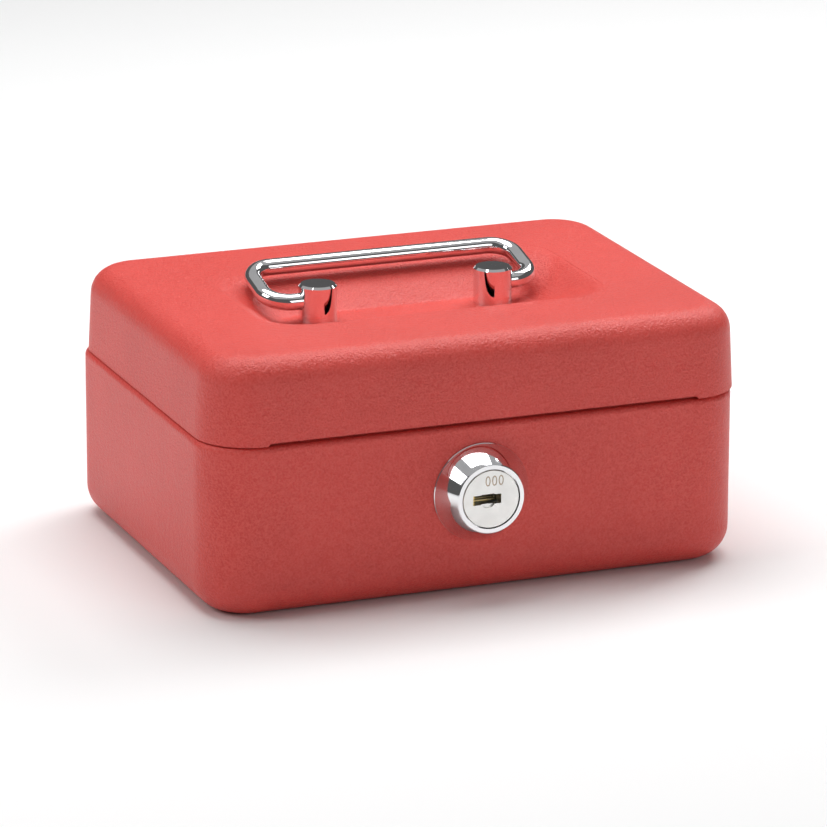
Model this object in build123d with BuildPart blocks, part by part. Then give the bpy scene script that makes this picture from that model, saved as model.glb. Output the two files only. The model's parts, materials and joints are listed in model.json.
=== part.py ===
from build123d import *
import math
import os

# Small lockable steel cash box used for donations, in millimetres.
# Origin at the centre of the base's underside: +X to the right, -Y to the front, +Z up.

# ---- Driving dimensions ----
box_width = 152.0
box_depth = 115.0
lid_top = 70.0
sheet = 0.8

# Base pan
base_corner = 14.2
base_bottom_radius = 8.5
shoulder_height = 46.9
shoulder_radius = 1.5
lip_inset = 2.3
lip_top = 53.0

# Lid
lid_offset = 0.75  # the hinge's end play lets the lid sit a little to the right
lid_low = 47.2
lid_corner = 15.0
lid_edge_radius = 7.2
lid_draft = 2.9
relief_height = 0.75  # the front skirt is cut back between its corners
relief_half = 61.0
relief_step = 0.8

# Handle dish pressed into the lid
dish_half_x = 49.8
dish_front_crest = -28.6
dish_rear_crest = 31.8
dish_corner = 13.0
dish_floor_corner = 8.0
dish_depth = 7.6
dish_side = (13.5, 1.35, 0.22)  # each wall's run, how much steeper it gets, and its floor blend
dish_front = (18.2, 1.4, 0.12)
dish_rear = (25.2, 2.6, 0.06)
dish_levels = [0.0, 0.03, 0.1, 0.25, 0.45, 0.68, 0.88, 0.97, 1.0]
slot_length = 44.6  # coin slot across the dish's front wall
slot_width = 4.3
slot_y = -13.8
slot_corner = 0.6

# Handle and its posts
post_spacing = 50.8
post_y = 0.9
post_radius = 5.25
post_top = 72.6
post_chamfer = 0.6
pivot_z = 68.0
rod_radius = 2.3
rod_hole_radius = 2.36
rod_hole_depth = 6.6
handle_half_width = 38.2
handle_arm = 19.9
handle_bend = 6.4
handle_tilt = 14.0
handle_offset = -0.6
rod_insert = 5.2
stud_radius = 2.0
nut_m4_flats = 7.0
nut_m4_height = 3.2
post_washer_radius = 4.5
post_washer_height = 0.8

# Hinge
hinge_length = 100.0
hinge_z = 47.0
knuckle_count = 7
knuckle_gap = 0.3
barrel_radius = 2.0
pin_radius = 1.0
pin_bore = 1.05
pin_head_radius = 1.4
pin_head_length = 0.5
base_leaf_low = 32.0
lid_leaf_top = 58.0
hinge_clearance = 0.6

# Lock
lock_x = -0.9
lock_z = 28.5
bezel_radius = 13.4
bezel_face_radius = 9.5
bezel_height = 7.5
barrel_outer = 8.0
barrel_flats = 14.0
barrel_length = 8.0
plug_radius = 5.5
plug_bore = 5.55
plug_head_radius = 7.9
head_recess_radius = 8.15
head_thickness = 2.05
head_recess = 2.2
keyway_left = -5.1
keyway_right = 2.8
keyway_height = 2.6
keyway_end = 5.0
plug_tail = 8.1
square = 6.0
square_hole = 6.1
washer_stack = [1.0, 1.5, 0.9, 2.7]  # stop washer, cam, spring washer, nut
cam_stud_radius = 2.5
cam_reach = 21.0
cam_hub = 7.0
cam_tip = 4.0
turn_angle = 90.0
stop_tab_angle = 24.0
stop_in = 6.0
stop_out = 6.8
stop_play = 0.15
lock_nut_flats = 20.0
lock_nut_height = 3.2
lock_washer_radius = 11.0
lock_washer_height = 0.8
wafer_pitch = 2.0
wafer_first = -3.4
wafer_thickness = 0.8
wafer_slot = 1.0
wafer_half_height = 2.8
wafer_webs = [-3.3, -2.9, -3.6, -3.1]  # left end of each wafer's window
wafer_window = 6.9
spring_coil = 0.42
spring_wire = 0.1
spring_start = -1.3
spring_length = 4.2
spring_z = 3.55

# Strike
strike_left = 12.5
strike_width = 10.0
strike_thickness = 1.2
strike_face_y = -50.2
strike_crank_z = 56.6
strike_weld_top = 62.4
strike_shelf_top = 23.2
strike_shelf_end = -46.0
strike_bend = 1.4

# Coin tray
tray_half_x = 72.0
tray_half_y = 53.5
tray_corner = 11.0
tray_low = 35.5
tray_wall = 1.5
tray_divider_top = 50.0
flange_half_x = 73.4
flange_half_y = 54.9
flange_corner = 13.5
flange_thickness = 1.2
flange_rest_gap = 0.05
notch_half = 25.5
notch_end = -41.5
row_split = -7.25
pocket_corner = 5.0
pocket_scoop = 7.5
column_split = 24.25

# ---- Derived ----
draft_slope = math.tan(math.radians(lid_draft))
skirt_wall = sheet / math.cos(math.radians(lid_draft))
half_width = box_width / 2
half_depth = box_depth / 2
front_face = -half_depth
rear_inner = half_depth - sheet
hinge_y = rear_inner - sheet + barrel_radius
knuckle_pitch = hinge_length / knuckle_count
post_x = [lid_offset - post_spacing / 2, lid_offset + post_spacing / 2]
dish_floor = lid_top - dish_depth
post_foot = dish_floor - sheet
lock_front = Plane(origin=(lock_x, front_face, lock_z), x_dir=(1, 0, 0), z_dir=(0, 1, 0))
lock_side = Plane(origin=(lock_x, front_face, lock_z), x_dir=(1, 0, 0), z_dir=(0, 0, 1))
lock_axis = Axis((lock_x, front_face, lock_z), (0, 1, 0))


def lock_plane(depth):
    """Plane across the lock's axis, depth behind the front wall; local +Y points down."""
    return lock_front.offset(depth)


def skirt_inner(z):
    """Distance from the lid's middle to its front and rear inner faces at height z."""
    return half_depth - (z - lid_low) * draft_slope - skirt_wall


def rounded_block(width, depth, corner, low, high, low_radius=0.0, high_radius=0.0, center_x=0.0, taper=0.0):
    """A block with rounded plan corners, and rounded lower and upper edges where asked."""
    with BuildPart() as block:
        with BuildSketch(Plane.XY.offset(low)):
            with Locations((center_x, 0)):
                RectangleRounded(width, depth, corner)
        extrude(amount=high - low, taper=taper)
        if low_radius:
            fillet(block.faces().sort_by(Axis.Z)[0].edges(), low_radius)
        if high_radius:
            fillet(block.faces().sort_by(Axis.Z)[-1].edges(), high_radius)
    return block.part


def dish_inset(level, wall):
    """How far in from the crest a wall of the dish is at this share of its depth."""
    run, power, blend = wall
    slope_part = (1 - blend) * level ** (1 / power)
    blend_part = blend * (1 - math.sqrt(1 - level * level))
    return run * (slope_part + blend_part)


def dish_edge(level, wall, thickness):
    """The same for the dish's underside, which keeps the sheet's thickness on the slope."""
    step = 0.01
    low = max(level - step, 0.0)
    high = min(level + step, 1.0)
    run = dish_inset(high, wall) - dish_inset(low, wall)
    angle = math.atan2((high - low) * dish_depth, run)
    return dish_inset(level, wall) - thickness * math.tan(angle / 2)


def dish_form(thickness):
    """The dish as a solid: its upper face for thickness 0, its underside for the sheet's."""
    with BuildPart() as form:
        for level in dish_levels:
            half_x = dish_half_x - dish_edge(level, dish_side, thickness)
            front = dish_front_crest + dish_edge(level, dish_front, thickness)
            rear = dish_rear_crest - dish_edge(level, dish_rear, thickness)
            corner = dish_corner + (dish_floor_corner - dish_corner) * level
            with BuildSketch(Plane.XY.offset(lid_top - thickness - dish_depth * level)):
                with Locations((lid_offset, (front + rear) / 2)):
                    RectangleRounded(2 * half_x, rear - front, corner)
        loft()
    return form.part


def hexagon_nut(plane, flats, bore, height):
    """A hexagon nut that stands on the plane."""
    with BuildPart() as nut:
        with BuildSketch(plane):
            RegularPolygon(radius=flats / 2, side_count=6, major_radius=False)
            Circle(bore, mode=Mode.SUBTRACT)
        extrude(amount=height)
    return nut.part


def ring(plane, outer, inner, height):
    """A flat washer that stands on the plane."""
    with BuildPart() as washer:
        with BuildSketch(plane):
            Circle(outer)
            Circle(inner, mode=Mode.SUBTRACT)
        extrude(amount=height)
    return washer.part


def save(builder, label):
    """Label a finished piece and write it as its own node."""
    builder.part.label = label
    export_step(builder.part, "parts/" + label + ".step")


os.makedirs("parts", exist_ok=True)

# ---- Base: drawn pan whose rim steps inward to a lip that stands inside the lid ----
base_outer = rounded_block(
    box_width, box_depth, base_corner, 0, shoulder_height, base_bottom_radius, shoulder_radius
)
base_void = rounded_block(
    box_width - 2 * sheet,
    box_depth - 2 * sheet,
    base_corner - sheet,
    sheet,
    shoulder_height - sheet,
    base_bottom_radius - sheet,
    shoulder_radius - sheet,
)
lip_width = box_width - 2 * lip_inset
lip_depth = box_depth - 2 * lip_inset
lip_corner = base_corner - lip_inset
lip_root = shoulder_height - 3 * sheet
lip_outer = rounded_block(lip_width, lip_depth, lip_corner, lip_root, lip_top)
lip_void = rounded_block(
    lip_width - 2 * sheet, lip_depth - 2 * sheet, lip_corner - sheet, lip_root - sheet, lip_top + 1
)
with BuildPart() as base_shell:
    add(base_outer)
    add(lip_outer)
    add(base_void, mode=Mode.SUBTRACT)
    add(lip_void, mode=Mode.SUBTRACT)
    # the rim is cut away where the hinge's barrel passes
    with BuildSketch(Plane.XY.offset(hinge_z - barrel_radius - hinge_clearance)):
        with Locations((0, half_depth)):
            Rectangle(hinge_length + 2 * hinge_clearance, 4 * lip_inset)
    extrude(amount=lip_top, mode=Mode.SUBTRACT)
    # double-D hole for the lock
    with BuildSketch(lock_plane(-1)) as lock_hole:
        Circle(barrel_outer + 0.15)
        Rectangle(4 * barrel_outer, barrel_flats + 0.3, mode=Mode.INTERSECT)
    extrude(amount=2 + sheet, mode=Mode.SUBTRACT)
save(base_shell, "base_shell")

# ---- Lid: drawn shell with drafted sides and the handle dish ----
lid_outer = rounded_block(
    box_width, box_depth, lid_corner, lid_low, lid_top, 0, lid_edge_radius, lid_offset, lid_draft
)
inner_width = box_width - 2 * skirt_wall
inner_depth = box_depth - 2 * skirt_wall
lid_inner = rounded_block(
    inner_width,
    inner_depth,
    lid_corner - sheet,
    lid_low,
    lid_top - sheet,
    0,
    lid_edge_radius - sheet,
    lid_offset,
    lid_draft,
)
with BuildPart() as lid_void:
    add(lid_inner)
    add(dish_form(sheet), mode=Mode.SUBTRACT)
with BuildPart() as lid_shell:
    add(lid_outer)
    add(dish_form(0.0), mode=Mode.SUBTRACT)
    add(lid_void.part, mode=Mode.SUBTRACT)
    # the front skirt's lower edge is cut back between the corners
    with BuildSketch(Plane.XZ.offset(half_depth + 1)):
        with BuildLine():
            Polyline(
                (lid_offset - relief_half, lid_low - 1),
                (lid_offset - relief_half, lid_low),
                (lid_offset - relief_half + relief_step, lid_low + relief_height),
                (lid_offset + relief_half - relief_step, lid_low + relief_height),
                (lid_offset + relief_half, lid_low),
                (lid_offset + relief_half, lid_low - 1),
                close=True,
            )
        make_face()
    extrude(amount=-4, mode=Mode.SUBTRACT)
    # the rear skirt is cut away above the hinge's barrel
    with BuildSketch(Plane.XY.offset(lid_low - 1)):
        with Locations((0, half_depth)):
            Rectangle(hinge_length + 2 * hinge_clearance, 4 * sheet)
    extrude(amount=hinge_z + barrel_radius + hinge_clearance - lid_low + 1, mode=Mode.SUBTRACT)
    # coin slot, punched straight down through the dish's front wall
    with BuildSketch(Plane.XY.offset(post_foot - 1)):
        with Locations((lid_offset, slot_y)):
            RectangleRounded(slot_length, slot_width, slot_corner)
    extrude(amount=lid_top - post_foot, mode=Mode.SUBTRACT)
    # holes for the posts' studs
    with BuildSketch(Plane.XY.offset(post_foot - 1)):
        with Locations(*[(x, post_y) for x in post_x]):
            Circle(stud_radius + 0.15)
    extrude(amount=sheet + 2, mode=Mode.SUBTRACT)
save(lid_shell, "lid_shell")

# ---- Handle: round rod bent to a bail, its ends turned in to the posts ----
bail_plane = Plane(
    origin=(lid_offset + handle_offset, post_y, pivot_z),
    x_dir=(1, 0, 0),
    z_dir=(0, -math.sin(math.radians(handle_tilt)), math.cos(math.radians(handle_tilt))),
)
rod_end = post_spacing / 2 + post_radius - rod_insert
with BuildPart() as handle:
    with BuildLine(bail_plane) as bail_line:
        FilletPolyline(
            (rod_end, 0),
            (handle_half_width, 0),
            (handle_half_width, handle_arm),
            (-handle_half_width, handle_arm),
            (-handle_half_width, 0),
            (-rod_end, 0),
            radius=handle_bend,
        )
    with BuildSketch(Plane(origin=bail_line.line @ 0, z_dir=bail_line.line % 0)):
        Circle(rod_radius)
    sweep()
    chamfer(handle.faces().filter_by(GeomType.PLANE).edges(), 0.4)
save(handle, "handle")


def handle_post(center_x, outward):
    """A turned post: cross hole for the rod on its outer side, threaded stud below."""
    with BuildPart() as post:
        with BuildSketch(Plane.XY.offset(dish_floor)):
            with Locations((center_x, post_y)):
                Circle(post_radius)
        extrude(amount=post_top - dish_floor)
        chamfer(post.faces().sort_by(Axis.Z)[-1].edges(), post_chamfer)
        with BuildSketch(Plane.XY.offset(dish_floor)):
            with Locations((center_x, post_y)):
                Circle(stud_radius)
        extrude(amount=-(sheet + post_washer_height + nut_m4_height + 0.3))
        outer_x = center_x + outward * (post_radius + 1)
        with BuildSketch(Plane(origin=(outer_x, post_y, pivot_z), z_dir=(-outward, 0, 0))):
            Circle(rod_hole_radius)
        extrude(amount=rod_hole_depth + 1, mode=Mode.SUBTRACT)
    return post


save(handle_post(post_x[0], -1), "handle_post_left")
save(handle_post(post_x[1], 1), "handle_post_right")

washer_low = post_foot - post_washer_height
with BuildPart() as post_washers:
    for x in post_x:
        washer_plane = Plane(origin=(x, post_y, washer_low))
        add(ring(washer_plane, post_washer_radius, stud_radius + 0.15, post_washer_height))
save(post_washers, "post_washers")

with BuildPart() as post_nuts:
    for x in post_x:
        nut_plane = Plane(origin=(x, post_y, washer_low - nut_m4_height))
        add(hexagon_nut(nut_plane, nut_m4_flats, stud_radius + 0.02, nut_m4_height))
save(post_nuts, "post_nuts")

# ---- Hinge: two leaves with interleaved knuckles on one pin ----
barrel_start = -hinge_length / 2


def knuckles(leaf_sketch_points, first):
    """Every second knuckle of the barrel, each with the tongue that joins it to its leaf."""
    with BuildPart() as row:
        for index in range(first, knuckle_count, 2):
            start = barrel_start + index * knuckle_pitch + knuckle_gap / 2
            with BuildSketch(Plane.YZ.offset(start)):
                with Locations((hinge_y, hinge_z)):
                    Circle(barrel_radius)
                with BuildLine():
                    Polyline(*leaf_sketch_points, close=True)
                make_face()
                with Locations((hinge_y, hinge_z)):
                    Circle(pin_bore, mode=Mode.SUBTRACT)
            extrude(amount=knuckle_pitch - knuckle_gap)
    return row.part


leaf_gap = barrel_radius + knuckle_gap
base_tongue = [
    (rear_inner - sheet, hinge_z - leaf_gap),
    (rear_inner, hinge_z - leaf_gap),
    (rear_inner, hinge_z),
    (rear_inner - sheet, hinge_z),
]
with BuildPart() as hinge_leaf_base:
    with BuildSketch(Plane.YZ.offset(barrel_start)):
        with BuildLine():
            Polyline(
                (rear_inner - sheet, base_leaf_low),
                (rear_inner, base_leaf_low),
                (rear_inner, hinge_z - leaf_gap),
                (rear_inner - sheet, hinge_z - leaf_gap),
                close=True,
            )
        make_face()
    extrude(amount=hinge_length)
    add(knuckles(base_tongue, 0))
save(hinge_leaf_base, "hinge_leaf_base")

leaf_start = hinge_z + leaf_gap
leaf_skin = 0.01
lid_tongue = [
    (rear_inner - sheet, hinge_z),
    (rear_inner, hinge_z),
    (skirt_inner(leaf_start) - leaf_skin, leaf_start),
    (skirt_inner(leaf_start) - leaf_skin - sheet, leaf_start),
]
with BuildPart() as hinge_leaf_lid:
    with BuildSketch(Plane.YZ.offset(barrel_start)):
        with BuildLine():
            Polyline(
                (skirt_inner(leaf_start) - leaf_skin, leaf_start),
                (skirt_inner(lid_leaf_top) - leaf_skin, lid_leaf_top),
                (skirt_inner(lid_leaf_top) - leaf_skin - sheet, lid_leaf_top),
                (skirt_inner(leaf_start) - leaf_skin - sheet, leaf_start),
                close=True,
            )
        make_face()
    extrude(amount=hinge_length)
    add(knuckles(lid_tongue, 1))
save(hinge_leaf_lid, "hinge_leaf_lid")

with BuildPart() as hinge_pin:
    with BuildSketch(Plane.YZ.offset(barrel_start - pin_head_length)):
        with Locations((hinge_y, hinge_z)):
            Circle(pin_radius)
    extrude(amount=hinge_length + 2 * pin_head_length)
    for start in (barrel_start - pin_head_length, -barrel_start):
        with BuildSketch(Plane.YZ.offset(start)):
            with Locations((hinge_y, hinge_z)):
                Circle(pin_head_radius)
        extrude(amount=pin_head_length)
save(hinge_pin, "hinge_pin")

# ---- Lock: conical bezel and double-D barrel, held by a nut behind the front wall ----
with BuildPart() as lock_housing:
    with BuildSketch(lock_side):
        with BuildLine():
            Polyline(
                (plug_bore, barrel_length),
                (plug_bore, head_recess - bezel_height),
                (head_recess_radius, head_recess - bezel_height),
                (head_recess_radius, -bezel_height),
                (bezel_face_radius - 0.25, -bezel_height),
                (bezel_face_radius, -bezel_height + 0.25),
            )
            Spline(
                (bezel_face_radius, -bezel_height + 0.25),
                (bezel_radius - 1.75, -bezel_height / 2),
                (bezel_radius - 0.15, -0.7),
            )
            Polyline(
                (bezel_radius - 0.15, -0.7),
                (bezel_radius, -0.5),
                (bezel_radius, 0),
                (barrel_outer, 0),
                (barrel_outer, barrel_length),
                (plug_bore, barrel_length),
            )
        make_face()
    revolve(axis=lock_axis)
    # flats above and below the threaded barrel
    for side in (-1, 1):
        with BuildSketch(lock_plane(0)):
            with Locations((0, side * (barrel_flats / 2 + barrel_outer))):
                Rectangle(4 * barrel_outer, 2 * barrel_outer)
        extrude(amount=barrel_length, mode=Mode.SUBTRACT)
    # arc groove in the rear end that the stop washer's tab runs in
    with BuildSketch(lock_plane(barrel_length - 1.2)):
        with BuildLine():
            groove_half = (turn_angle + stop_tab_angle) / 2 + 1
            CenterArc((0, 0), stop_out + stop_play, 45 - groove_half, 2 * groove_half)
            CenterArc((0, 0), stop_in - stop_play, 45 - groove_half, 2 * groove_half)
            for angle in (45 - groove_half, 45 + groove_half):
                Line(
                    Vector(stop_in - stop_play, 0).rotate(Axis.Z, angle),
                    Vector(stop_out + stop_play, 0).rotate(Axis.Z, angle),
                )
        make_face()
    extrude(amount=1.2, mode=Mode.SUBTRACT)
save(lock_housing, "lock_housing")

nut_seat = sheet + lock_washer_height
with BuildPart() as lock_nut_washer:
    add(ring(lock_plane(sheet), lock_washer_radius, barrel_outer + 0.1, lock_washer_height))
save(lock_nut_washer, "lock_nut_washer")

with BuildPart() as lock_nut:
    add(hexagon_nut(lock_plane(nut_seat), lock_nut_flats, barrel_outer + 0.03, lock_nut_height))
save(lock_nut, "lock_nut")

# ---- Plug: head, body with the keyway and wafer slots, square and stud at the tail ----
tail_steps = [plug_tail]
for thickness in washer_stack:
    tail_steps.append(tail_steps[-1] + thickness)
head_face = -bezel_height + 0.05
with BuildPart() as lock_plug:
    with BuildSketch(lock_plane(head_face)):
        Circle(plug_head_radius)
    extrude(amount=head_thickness)
    with BuildSketch(lock_plane(head_face + head_thickness)):
        Circle(plug_radius)
    extrude(amount=plug_tail - head_face - head_thickness)
    chamfer(lock_plug.faces().sort_by(Axis.Y)[0].edges(), 0.15)
    with BuildSketch(lock_plane(plug_tail)):
        Rectangle(square, square)
    extrude(amount=tail_steps[2] - plug_tail - 0.1)
    with BuildSketch(lock_plane(tail_steps[2] - 0.1)):
        Circle(cam_stud_radius)
    extrude(amount=tail_steps[4] + 0.5 - tail_steps[2])
    # keyway and the round recess at its mouth
    keyway_middle = (keyway_left + keyway_right) / 2
    with BuildSketch(lock_plane(head_face)):
        with Locations((keyway_middle, 0)):
            Rectangle(keyway_right - keyway_left, keyway_height)
    extrude(amount=keyway_end - head_face, mode=Mode.SUBTRACT)
    with BuildSketch(lock_plane(head_face)):
        with Locations((keyway_middle + 0.25, 0)):
            Circle(2.3)
    extrude(amount=0.6, mode=Mode.SUBTRACT)
    # generic number: three plain rings
    with BuildSketch(lock_plane(head_face)):
        with Locations(*[(0.9 + step, -5.0) for step in (-1.85, 0, 1.85)]):
            Ellipse(0.72, 1.4)
            Ellipse(0.42, 1.05, mode=Mode.SUBTRACT)
    extrude(amount=0.12, mode=Mode.SUBTRACT)
    # one slot across the plug for each wafer, with a pocket for its spring
    for index in range(len(wafer_webs)):
        slot_middle = wafer_first + index * wafer_pitch
        with BuildSketch(lock_plane(slot_middle - wafer_slot / 2)):
            Rectangle(4 * plug_radius, 2 * wafer_half_height + 0.2)
        extrude(amount=wafer_slot, mode=Mode.SUBTRACT)
        with BuildSketch(lock_plane(slot_middle - 0.6)):
            with Locations((0.4, -spring_z)):
                Rectangle(5.8, 1.4)
        extrude(amount=1.2, mode=Mode.SUBTRACT)
save(lock_plug, "lock_plug")

with BuildPart() as lock_wafers:
    for index, web in enumerate(wafer_webs):
        low = wafer_first + index * wafer_pitch - wafer_thickness / 2
        with BuildSketch(lock_plane(low)):
            Rectangle(4 * plug_radius, 2 * wafer_half_height)
            with Locations((-1.95, -spring_z + 0.3)):
                Rectangle(0.9, 1.4)
            Circle(plug_radius - 0.1, mode=Mode.INTERSECT)
            with Locations((web + wafer_window / 2, 0)):
                Rectangle(wafer_window, keyway_height + 0.4, mode=Mode.SUBTRACT)
        extrude(amount=wafer_thickness)
save(lock_wafers, "lock_wafers")

with BuildPart() as wafer_springs:
    for index in range(len(wafer_webs)):
        spring_y = front_face + wafer_first + index * wafer_pitch
        with BuildLine() as coil:
            Helix(
                pitch=0.7,
                height=spring_length - 2 * spring_wire,
                radius=spring_coil,
                center=(lock_x + spring_start, spring_y, lock_z + spring_z),
                direction=(1, 0, 0),
            )
        with BuildSketch(Plane(origin=coil.line @ 0, z_dir=coil.line % 0)):
            Circle(spring_wire)
        sweep(path=coil.line)
save(wafer_springs, "wafer_springs")

# ---- Cam group on the plug's tail ----
with BuildPart() as cam_stop_washer:
    with BuildSketch(lock_plane(tail_steps[0])):
        Circle(cam_hub)
        Rectangle(square_hole, square_hole, mode=Mode.SUBTRACT)
    extrude(amount=washer_stack[0])
    with BuildSketch(lock_plane(barrel_length - 1.0)):
        with BuildLine():
            tab_start = -stop_tab_angle / 2
            CenterArc((0, 0), stop_out, tab_start, stop_tab_angle)
            CenterArc((0, 0), stop_in, tab_start, stop_tab_angle)
            for angle in (tab_start, -tab_start):
                Line(
                    Vector(stop_in, 0).rotate(Axis.Z, angle),
                    Vector(stop_out, 0).rotate(Axis.Z, angle),
                )
        make_face()
    extrude(amount=1.0 + plug_tail - barrel_length)
save(cam_stop_washer, "cam_stop_washer")

with BuildPart() as lock_cam:
    with BuildSketch(lock_plane(tail_steps[1])):
        Circle(cam_hub)
        with Locations((0, cam_tip - cam_reach)):
            Circle(cam_tip)
        make_hull()
        Rectangle(square_hole, square_hole, mode=Mode.SUBTRACT)
    extrude(amount=washer_stack[1])
save(lock_cam, "lock_cam")

with BuildPart() as cam_spring_washer:
    add(ring(lock_plane(tail_steps[2]), 4.6, cam_stud_radius + 0.1, washer_stack[2]))
    # the split of a spring washer
    with BuildSketch(lock_plane(tail_steps[2])):
        with Locations((4, 0)):
            Rectangle(4, 0.5)
    extrude(amount=washer_stack[2], mode=Mode.SUBTRACT)
save(cam_spring_washer, "cam_spring_washer")

with BuildPart() as cam_nut:
    add(hexagon_nut(lock_plane(tail_steps[3]), 8.0, cam_stud_radius + 0.02, washer_stack[3]))
save(cam_nut, "cam_nut")

# ---- Strike: strip welded inside the lid's front skirt, hooked under the turned cam ----
strike_mid = strike_thickness / 2
strike_skin = strike_mid + 0.02
hang_y = strike_face_y + strike_mid
with BuildPart() as strike_plate:
    with BuildSketch(Plane.YZ.offset(lock_x + strike_left)):
        with BuildLine() as strike_line:
            FilletPolyline(
                (strike_skin - skirt_inner(strike_weld_top), strike_weld_top),
                (strike_skin - skirt_inner(strike_crank_z), strike_crank_z),
                (hang_y, strike_crank_z),
                (hang_y, strike_shelf_top - strike_mid),
                (strike_shelf_end, strike_shelf_top - strike_mid),
                radius=strike_bend,
            )
        trace(strike_line.line, line_width=strike_thickness)
    extrude(amount=strike_width)
save(strike_plate, "strike_plate")

# ---- Coin tray: lifts out, hangs from the base's lip by its flange ----
tray_top = lip_top + flange_rest_gap + flange_thickness


def tray_plan(half_x, half_y, corner, margin):
    """The tray's outline, with the notch for the lock, cut back by a margin."""
    with BuildSketch() as plan:
        RectangleRounded(2 * half_x, 2 * half_y, corner)
        with Locations((lock_x, (notch_end + margin - 2 * half_y) / 2)):
            Rectangle(2 * (notch_half + margin), notch_end + margin + 2 * half_y, mode=Mode.SUBTRACT)
    return plan.sketch


pocket_left = -tray_half_x + tray_wall
pocket_right = tray_half_x - tray_wall
pocket_front = -tray_half_y + tray_wall
pocket_rear = tray_half_y - tray_wall
divider = tray_wall / 2
side_left = lock_x - notch_half - tray_wall
side_right = lock_x + notch_half + tray_wall
pockets = [
    (pocket_left, side_left, pocket_front, row_split - divider),
    (lock_x - notch_half, lock_x + notch_half, notch_end + tray_wall, row_split - divider),
    (side_right, pocket_right, pocket_front, row_split - divider),
    (pocket_left, -column_split - divider, row_split + divider, pocket_rear),
    (-column_split + divider, column_split - divider, row_split + divider, pocket_rear),
    (column_split + divider, pocket_right, row_split + divider, pocket_rear),
]


def tray_pocket(left, right, front, rear):
    """One coin bowl: a pocket with scooped floor edges."""
    with BuildPart() as pocket:
        with BuildSketch(Plane.XY.offset(tray_low + tray_wall)):
            with Locations(((left + right) / 2, (front + rear) / 2)):
                RectangleRounded(right - left, rear - front, pocket_corner + pocket_scoop)
        extrude(amount=tray_divider_top + 1 - tray_low - tray_wall)
        fillet(pocket.faces().sort_by(Axis.Z)[0].edges(), pocket_scoop)
    return pocket.part


with BuildPart() as coin_tray:
    with BuildSketch(Plane.XY.offset(tray_low)):
        add(tray_plan(tray_half_x, tray_half_y, tray_corner, 0.0))
    extrude(amount=tray_top - tray_low)
    fillet(coin_tray.faces().sort_by(Axis.Z)[0].edges(), 4.0)
    with BuildSketch(Plane.XY.offset(tray_top - flange_thickness)):
        add(tray_plan(flange_half_x, flange_half_y, flange_corner, 0.0))
    extrude(amount=flange_thickness)
    with BuildSketch(Plane.XY.offset(tray_divider_top)):
        add(tray_plan(tray_half_x - tray_wall, tray_half_y - tray_wall, tray_corner - tray_wall, tray_wall))
    extrude(amount=tray_top, mode=Mode.SUBTRACT)
    for left, right, front, rear in pockets:
        add(tray_pocket(left, right, front, rear), mode=Mode.SUBTRACT)
save(coin_tray, "coin_tray")
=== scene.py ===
import bpy
import json
import math
from mathutils import Matrix, Vector


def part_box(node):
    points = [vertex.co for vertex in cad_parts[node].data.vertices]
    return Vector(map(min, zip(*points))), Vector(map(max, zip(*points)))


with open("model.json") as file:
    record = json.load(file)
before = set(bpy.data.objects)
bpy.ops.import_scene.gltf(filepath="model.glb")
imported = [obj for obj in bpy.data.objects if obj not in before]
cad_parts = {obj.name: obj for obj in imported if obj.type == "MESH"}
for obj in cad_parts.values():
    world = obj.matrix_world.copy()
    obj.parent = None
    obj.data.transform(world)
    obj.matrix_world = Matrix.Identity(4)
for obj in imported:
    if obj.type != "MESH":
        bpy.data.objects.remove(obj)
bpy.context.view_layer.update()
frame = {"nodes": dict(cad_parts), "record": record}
nodes = frame["nodes"]
scene = bpy.context.scene


# ---- Node helpers ----
class Shader:
    """A new material's node tree, with its Principled shader."""

    def __init__(self, name):
        self.material = bpy.data.materials.new(name)
        self.material.use_nodes = True
        self.tree = self.material.node_tree
        self.bsdf = self.tree.nodes["Principled BSDF"]
        self.place = self.tree.nodes.new("ShaderNodeTexCoord").outputs["Object"]

    def node(self, kind, **values):
        made = self.tree.nodes.new(kind)
        for key, value in values.items():
            setattr(made, key, value)
        return made

    def link(self, source, target):
        self.tree.links.new(source, target)

    def noise(self, feature, detail, roughness=0.5):
        """Noise whose features are about this size in metres."""
        texture = self.node("ShaderNodeTexNoise")
        texture.inputs["Scale"].default_value = 1.0 / feature
        texture.inputs["Detail"].default_value = detail
        texture.inputs["Roughness"].default_value = roughness
        self.link(self.place, texture.inputs["Vector"])
        return texture.outputs["Fac"]

    def along(self, axis):
        """The place along X, Y or Z, in metres."""
        split = self.node("ShaderNodeSeparateXYZ")
        self.link(self.place, split.inputs["Vector"])
        return split.outputs[axis]

    def remap(self, value, low, high, to_low, to_high):
        remap = self.node("ShaderNodeMapRange")
        remap.inputs["From Min"].default_value = low
        remap.inputs["From Max"].default_value = high
        remap.inputs["To Min"].default_value = to_low
        remap.inputs["To Max"].default_value = to_high
        self.link(value, remap.inputs["Value"])
        return remap.outputs["Result"]

    def blend(self, factor, first, second):
        """Colour between two, by a factor; each is a colour or another node's output."""
        mix = self.node("ShaderNodeMix", data_type="RGBA")
        self.link(factor, mix.inputs["Factor"])
        for socket, colour in ((mix.inputs["A"], first), (mix.inputs["B"], second)):
            if isinstance(colour, tuple):
                socket.default_value = (*colour, 1.0)
            else:
                self.link(colour, socket)
        return mix.outputs["Result"]

    def bump(self, height, depth, strength, under=None):
        """Bump of this depth in metres, on top of another bump where one is given."""
        bump = self.node("ShaderNodeBump")
        bump.inputs["Strength"].default_value = strength
        bump.inputs["Distance"].default_value = depth
        self.link(height, bump.inputs["Height"])
        if under is not None:
            self.link(under, bump.inputs["Normal"])
        return bump.outputs["Normal"]

    def finish(self, colour, roughness, normal, metallic=0.0):
        self.link(colour, self.bsdf.inputs["Base Color"])
        self.link(roughness, self.bsdf.inputs["Roughness"])
        self.link(normal, self.bsdf.inputs["Normal"])
        self.bsdf.inputs["Metallic"].default_value = metallic
        return self.material


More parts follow.
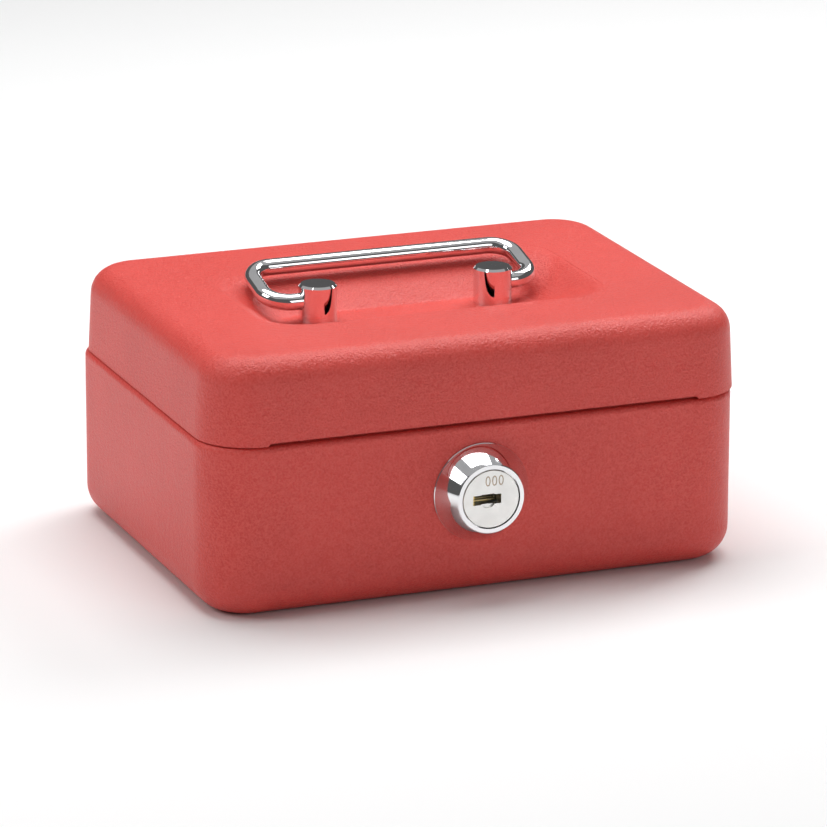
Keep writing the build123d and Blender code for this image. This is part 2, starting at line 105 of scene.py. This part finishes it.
# ---- Materials ----
def powder_coat():
    """Textured red powder coat: fine orange peel, mottled by its grain, with painted shade darkening it low
    down.
    """
    paint = Shader("red_powder_coat")
    deep, bright = (0.66, 0.047, 0.037), (0.73, 0.056, 0.045)
    speck = (0.82, 0.125, 0.100)
    # Painted shade colour: a darker red that stands in for contact shade near the floor.
    painted_low_shade = (0.50, 0.030, 0.026)
    painted_shade_height = 0.020
    cloud = paint.noise(0.030, 3.0)
    grain = paint.noise(0.00055, 2.0, 0.6)
    peel = paint.noise(0.0016, 2.0, 0.5)
    tone = paint.blend(paint.remap(cloud, 0.35, 0.65, 0.0, 1.0), deep, bright)
    tone = paint.blend(paint.remap(grain, 0.35, 0.65, 0.0, 0.6), tone, speck)
    # Painted shade: the paint darkens towards the bottom, within a set height of the floor, as a stand-in
    # for contact shade.
    tone = paint.blend(paint.remap(paint.along("Z"), 0.0, painted_shade_height, 0.25, 0.0), tone, painted_low_shade)
    roughness = paint.remap(grain, 0.3, 0.7, 0.34, 0.48)
    normal = paint.bump(peel, 0.0003, 0.7)
    normal = paint.bump(grain, 0.00032, 1.0, normal)
    return paint.finish(tone, roughness, normal)


def plated(name, light, dark, rough_low, rough_high, grain_size, depth, ink_depth=None):
    """Plated metal with faint haze and handling marks, and old ink at a depth along Y where one is given."""
    metal = Shader(name)
    ink_colour = (0.42, 0.33, 0.24)
    ink_near, ink_far = 0.00003, 0.00005
    haze = metal.noise(0.006, 4.0, 0.6)
    grain = metal.noise(grain_size, 3.0, 0.6)
    tone = metal.blend(metal.remap(haze, 0.3, 0.7, 0.0, 1.0), light, dark)
    if ink_depth is not None:
        off = metal.node("ShaderNodeMath", operation="SUBTRACT")
        metal.link(metal.along("Y"), off.inputs[0])
        off.inputs[1].default_value = ink_depth
        away = metal.node("ShaderNodeMath", operation="ABSOLUTE")
        metal.link(off.outputs["Value"], away.inputs[0])
        ink = metal.remap(away.outputs["Value"], ink_near, ink_far, 1.0, 0.0)
        tone = metal.blend(ink, tone, ink_colour)
    roughness = metal.remap(haze, 0.3, 0.7, rough_low, rough_high)
    normal = metal.bump(grain, depth, 0.4)
    return metal.finish(tone, roughness, normal, 1.0)


def black_plastic():
    """Injection-moulded plastic with a fine spark-eroded grain."""
    plastic = Shader("black_tray_plastic")
    cloud = plastic.noise(0.02, 3.0)
    grain = plastic.noise(0.0005, 2.0, 0.6)
    tone = plastic.blend(cloud, (0.018, 0.018, 0.019), (0.032, 0.032, 0.034))
    roughness = plastic.remap(grain, 0.3, 0.7, 0.42, 0.60)
    normal = plastic.bump(grain, 0.00003, 0.5)
    return plastic.finish(tone, roughness, normal)


red = powder_coat()
chrome = plated("bright_chrome", (0.86, 0.86, 0.87), (0.80, 0.80, 0.82), 0.03, 0.07, 0.003, 0.00001)
engraving_depth = 0.00012
face_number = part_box("lock_plug")[0][1] + engraving_depth
satin = plated(
    "satin_chrome", (0.84, 0.84, 0.82), (0.76, 0.76, 0.74), 0.26, 0.36, 0.0004, 0.00001, face_number
)
zinc = plated("zinc_plate", (0.62, 0.64, 0.66), (0.50, 0.52, 0.54), 0.28, 0.45, 0.0008, 0.00002)
brass = plated("stamped_brass", (0.92, 0.70, 0.24), (0.80, 0.58, 0.18), 0.30, 0.45, 0.0006, 0.00001)
plastic = black_plastic()

FINISHES = {
    "red_enamel": red,
    "chrome": chrome,
    "satin_chrome": satin,
    "zinc_steel": zinc,
    "brass": brass,
    "black_plastic": plastic,
}


def finish_nodes():
    """Gives every CAD node the detailed material of its slot."""
    for part in frame["record"]["subparts"]:
        mesh = nodes[part["node"]].data
        mesh.materials.clear()
        mesh.materials.append(FINISHES[part["material_slot"]])


finish_nodes()


# ---- Studio ----
def make_floor():
    """A plain, matt, pale floor."""
    bpy.ops.mesh.primitive_plane_add(size=8.0, location=(0, 0, -0.0002))
    floor = bpy.context.object
    floor.name = "studio_floor"
    paper = Shader("floor_paper")
    paper.bsdf.inputs["Base Color"].default_value = (0.9, 0.9, 0.9, 1.0)
    paper.bsdf.inputs["Roughness"].default_value = 0.9
    floor.data.materials.append(paper.material)


def softbox(name, place, target, size, power):
    light = bpy.data.lights.new(name, "AREA")
    light.shape = "RECTANGLE"
    light.size, light.size_y = size
    light.energy = power
    lamp = bpy.data.objects.new(name, light)
    scene.collection.objects.link(lamp)
    lamp.location = place
    lamp.rotation_euler = (Vector(target) - Vector(place)).to_track_quat("-Z", "Y").to_euler()


def make_lights():
    """A dim ceiling, softboxes above, to the left and to the right, and a front fill."""
    middle = (0, 0, 0.04)
    softbox("ceiling", (0.0, 0.3, 1.6), middle, (3.2, 3.2), 10.0)
    softbox("top_softbox", (-0.02, 0.24, 1.00), middle, (0.85, 0.60), 7.6)
    softbox("right_softbox", (0.63, 0.36, 0.73), middle, (0.40, 0.40), 3.4)
    softbox("left_softbox", (-0.80, 0.06, 0.62), middle, (0.40, 0.40), 1.9)
    softbox("front_fill", (0.50, -1.50, 0.70), middle, (1.0, 0.6), 3.6)
    world = bpy.data.worlds.new("studio")
    world.use_nodes = True
    world.node_tree.nodes["Background"].inputs["Color"].default_value = (1, 1, 1, 1)
    world.node_tree.nodes["Background"].inputs["Strength"].default_value = 0.10
    scene.world = world


def make_camera():
    """Camera at the photograph's angle: left of the front, a little above, through a long lens."""
    yaw, pitch, roll = (math.radians(angle) for angle in (-21.55, 16.745, 0.156))
    distance = 1.496
    aim_right, aim_up = 0.002574, -0.001336
    aim_height = 0.035
    back = Vector((math.sin(yaw) * math.cos(pitch), -math.cos(yaw) * math.cos(pitch), math.sin(pitch)))
    level = Vector((math.cos(yaw), math.sin(yaw), 0.0))
    rise = back.cross(level)
    right = math.cos(roll) * level + math.sin(roll) * rise
    up = math.cos(roll) * rise - math.sin(roll) * level
    place = Vector((0, 0, aim_height)) + distance * back + aim_right * right + aim_up * up
    camera = bpy.data.objects.new("camera", bpy.data.cameras.new("camera"))
    scene.collection.objects.link(camera)
    camera.data.sensor_width = 36.0
    camera.data.lens = 239.33
    camera.data.clip_start = 0.05
    turn = Matrix((right, up, back)).transposed().to_4x4()
    camera.matrix_world = Matrix.Translation(place) @ turn
    scene.camera = camera


make_floor()
make_lights()
make_camera()
scene.view_settings.view_transform = "Standard"
